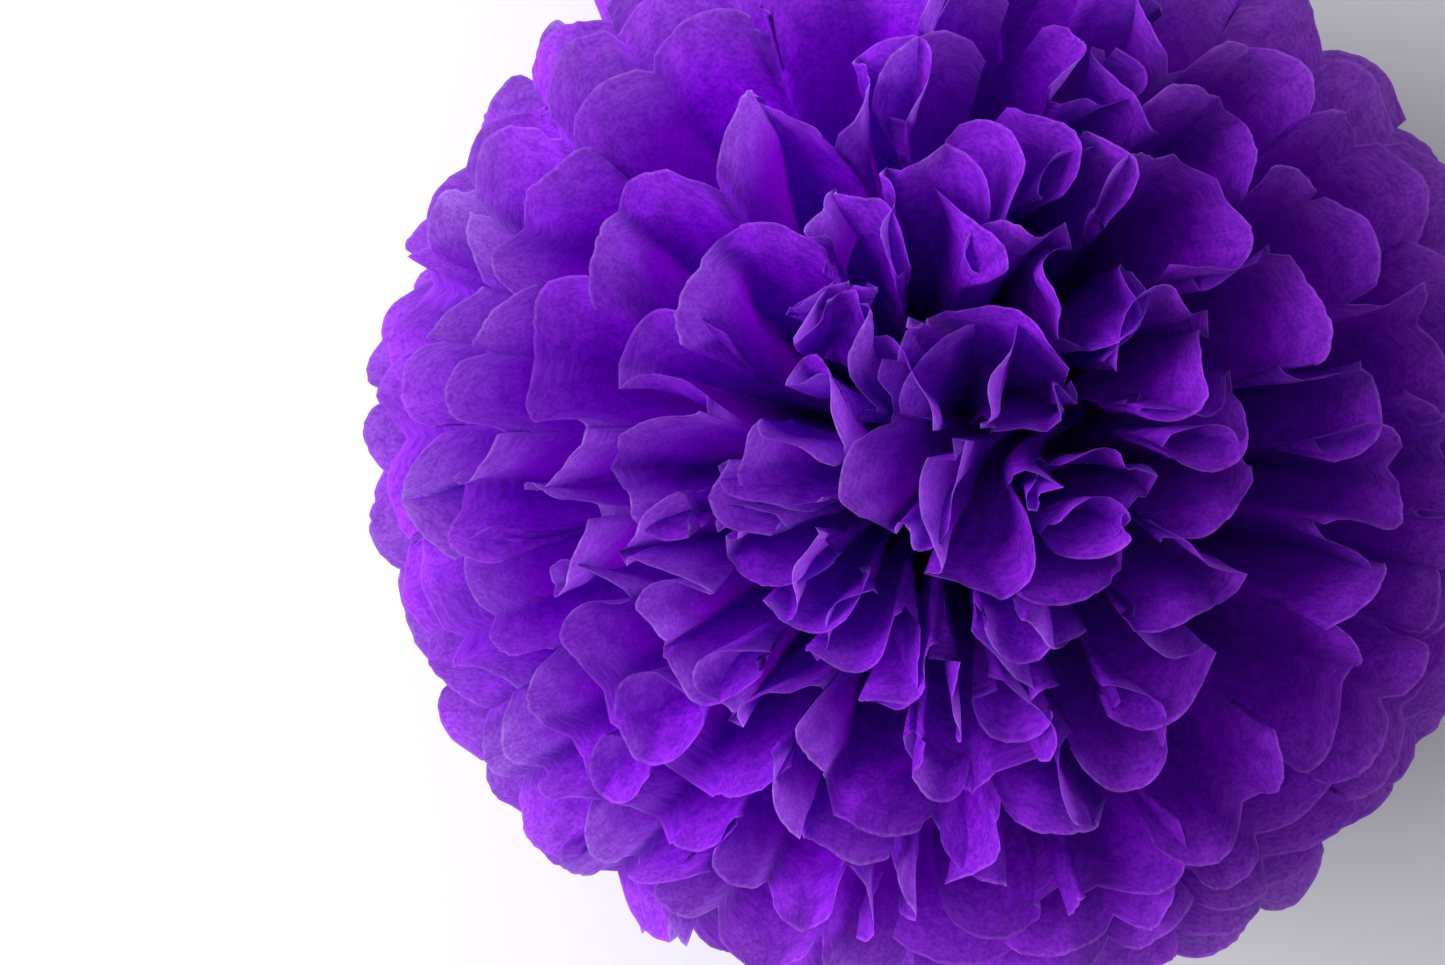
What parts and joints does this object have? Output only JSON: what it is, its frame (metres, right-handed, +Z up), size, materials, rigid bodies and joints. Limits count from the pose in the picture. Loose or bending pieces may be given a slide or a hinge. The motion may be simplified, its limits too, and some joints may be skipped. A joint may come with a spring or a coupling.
{
  "type": "tissue paper pom pom",
  "caption": "Round tissue paper pom pom: pleated sheets with round-cut ends, tied with wire round the middle and fanned out into a full ball of petals.",
  "frame": {"origin": "on the table under the ball: the middle of the bottom of the bounding box, where the lowest petals rest", "axes": "+Z up through the top of the ball; +X along the tied sheets, so that one half of each sheet fans out to +X and the other to -X; +Y along the tie's twisted end"},
  "size_m": [0.3, 0.2972, 0.2713],
  "materials": {
    "violet_tissue": "matte, thin and translucent tissue paper",
    "tie_wire": "bare craft wire"
  },
  "bodies": {
    "root": {"tissue_sheet_01": "violet_tissue", "tissue_sheet_02": "violet_tissue", "tissue_sheet_03": "violet_tissue", "tissue_sheet_04": "violet_tissue", "tissue_sheet_05": "violet_tissue", "tissue_sheet_06": "violet_tissue", "tissue_sheet_07": "violet_tissue", "tissue_sheet_08": "violet_tissue", "tissue_sheet_09": "violet_tissue", "tissue_sheet_10": "violet_tissue", "tissue_sheet_11": "violet_tissue", "tissue_sheet_12": "violet_tissue", "centre_tie": "tie_wire"}
  },
  "joints": []
}
